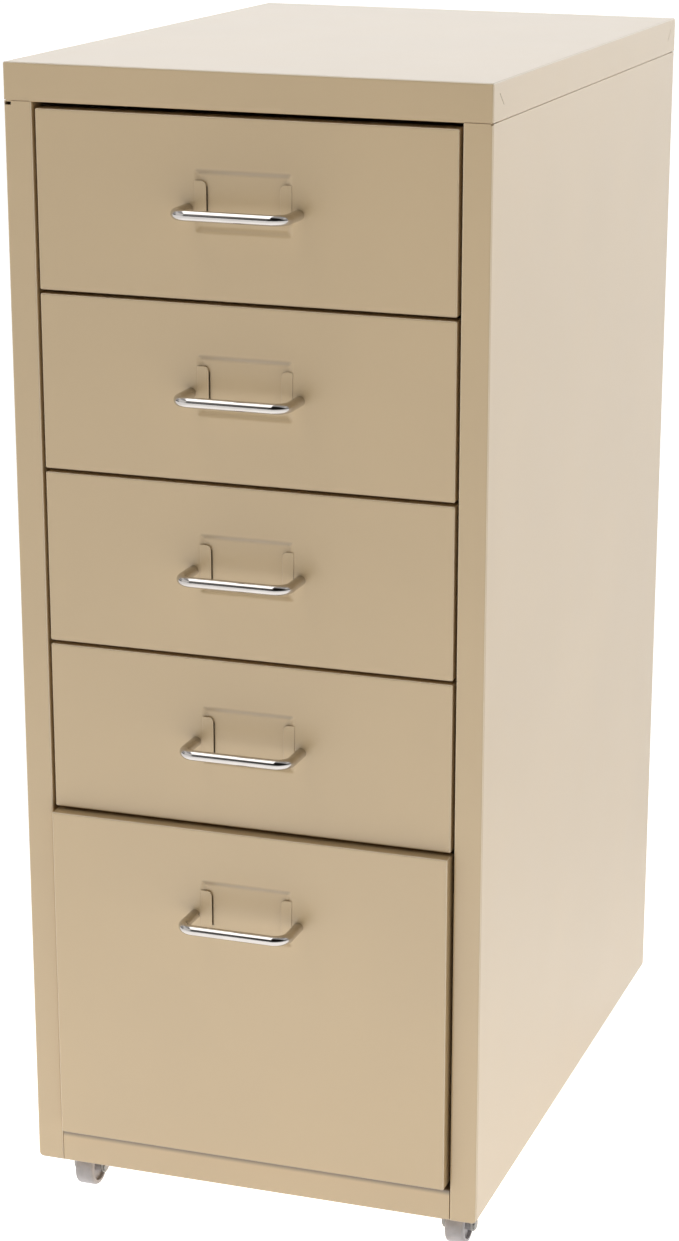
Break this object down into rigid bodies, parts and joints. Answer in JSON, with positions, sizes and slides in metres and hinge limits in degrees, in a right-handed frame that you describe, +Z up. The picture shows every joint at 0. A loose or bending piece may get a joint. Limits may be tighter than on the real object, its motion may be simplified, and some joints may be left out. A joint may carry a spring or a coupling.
{
  "type": "drawer cabinet",
  "caption": "Narrow sheet-steel filing cabinet on swivel casters: equal shallow drawers above one deep drawer, each with a wire pull and a pressed label recess.",
  "frame": {"origin": "on the floor, below the middle of the whole cabinet, pulls included", "axes": "+Z up, -Y out of the drawer fronts, +X to the right as seen from the front"},
  "size_m": [0.28, 0.444, 0.69],
  "materials": {
    "powder_coat": "satin beige powder coat on sheet steel",
    "chrome_wire": "polished chrome plate",
    "zinc_steel": "bright zinc plate",
    "black_nylon": "moulded matt",
    "grey_plastic": "moulded satin"
  },
  "bodies": {
    "cabinet": {"top_cover": "powder_coat", "left_side_panel": "powder_coat", "right_side_panel": "powder_coat", "back_panel": "powder_coat", "bottom_panel": "powder_coat", "front_bottom_rail": "powder_coat", "front_top_rail": "powder_coat", "left_runner_1": "powder_coat", "right_runner_1": "powder_coat", "left_runner_2": "powder_coat", "right_runner_2": "powder_coat", "left_runner_3": "powder_coat", "right_runner_3": "powder_coat", "left_runner_4": "powder_coat", "right_runner_4": "powder_coat", "left_runner_5": "powder_coat", "right_runner_5": "powder_coat", "front_left_stem": "zinc_steel", "front_left_swivel_ring": "black_nylon", "front_right_stem": "zinc_steel", "front_right_swivel_ring": "black_nylon", "rear_left_stem": "zinc_steel", "rear_left_swivel_ring": "black_nylon", "rear_right_stem": "zinc_steel", "rear_right_swivel_ring": "black_nylon", "caster_nuts": "zinc_steel", "back_rivets": "zinc_steel"},
    "drawer_1": {"drawer_1_front": "powder_coat", "drawer_1_tray": "powder_coat", "drawer_1_handle": "chrome_wire", "drawer_1_handle_screws": "zinc_steel"},
    "drawer_2": {"drawer_2_front": "powder_coat", "drawer_2_tray": "powder_coat", "drawer_2_handle": "chrome_wire", "drawer_2_handle_screws": "zinc_steel"},
    "drawer_3": {"drawer_3_front": "powder_coat", "drawer_3_tray": "powder_coat", "drawer_3_handle": "chrome_wire", "drawer_3_handle_screws": "zinc_steel"},
    "drawer_4": {"drawer_4_front": "powder_coat", "drawer_4_tray": "powder_coat", "drawer_4_handle": "chrome_wire", "drawer_4_handle_screws": "zinc_steel"},
    "drawer_5": {"drawer_5_front": "powder_coat", "drawer_5_tray": "powder_coat", "drawer_5_handle": "chrome_wire", "drawer_5_handle_screws": "zinc_steel"},
    "front_left_caster": {"front_left_fork": "zinc_steel", "front_left_axle": "zinc_steel"},
    "front_left_roller": {"front_left_wheel": "grey_plastic"},
    "front_right_caster": {"front_right_fork": "zinc_steel", "front_right_axle": "zinc_steel"},
    "front_right_roller": {"front_right_wheel": "grey_plastic"},
    "rear_left_caster": {"rear_left_fork": "zinc_steel", "rear_left_axle": "zinc_steel"},
    "rear_left_roller": {"rear_left_wheel": "grey_plastic"},
    "rear_right_caster": {"rear_right_fork": "zinc_steel", "rear_right_axle": "zinc_steel"},
    "rear_right_roller": {"rear_right_wheel": "grey_plastic"}
  },
  "joints": [
    {"name": "drawer_1_slide", "type": "slide", "parent": "cabinet", "child": "drawer_1", "axis": [0, -1, 0], "range_m": [0, 0.3]},
    {"name": "drawer_2_slide", "type": "slide", "parent": "cabinet", "child": "drawer_2", "axis": [0, -1, 0], "range_m": [0, 0.3]},
    {"name": "drawer_3_slide", "type": "slide", "parent": "cabinet", "child": "drawer_3", "axis": [0, -1, 0], "range_m": [0, 0.3]},
    {"name": "drawer_4_slide", "type": "slide", "parent": "cabinet", "child": "drawer_4", "axis": [0, -1, 0], "range_m": [0, 0.3]},
    {"name": "drawer_5_slide", "type": "slide", "parent": "cabinet", "child": "drawer_5", "axis": [0, -1, 0], "range_m": [-0.006, 0.294]},
    {"name": "front_left_swivel", "type": "hinge", "parent": "cabinet", "child": "front_left_caster", "pos_m": [-0.12, -0.146, 0.0276], "axis": [0, 0, 1], "continuous": true},
    {"name": "front_left_roll", "type": "hinge", "parent": "front_left_caster", "child": "front_left_roller", "pos_m": [-0.12, -0.156, 0.0125], "axis": [1, 0, 0], "continuous": true},
    {"name": "front_right_swivel", "type": "hinge", "parent": "cabinet", "child": "front_right_caster", "pos_m": [0.12, -0.146, 0.0276], "axis": [0, 0, 1], "continuous": true},
    {"name": "front_right_roll", "type": "hinge", "parent": "front_right_caster", "child": "front_right_roller", "pos_m": [0.12, -0.156, 0.0125], "axis": [1, 0, 0], "continuous": true},
    {"name": "rear_left_swivel", "type": "hinge", "parent": "cabinet", "child": "rear_left_caster", "pos_m": [-0.116, 0.178, 0.0276], "axis": [0, 0, 1], "continuous": true},
    {"name": "rear_left_roll", "type": "hinge", "parent": "rear_left_caster", "child": "rear_left_roller", "pos_m": [-0.116, 0.168, 0.0125], "axis": [1, 0, 0], "continuous": true},
    {"name": "rear_right_swivel", "type": "hinge", "parent": "cabinet", "child": "rear_right_caster", "pos_m": [0.116, 0.178, 0.0276], "axis": [0, 0, 1], "continuous": true},
    {"name": "rear_right_roll", "type": "hinge", "parent": "rear_right_caster", "child": "rear_right_roller", "pos_m": [0.116, 0.168, 0.0125], "axis": [1, 0, 0], "continuous": true}
  ]
}
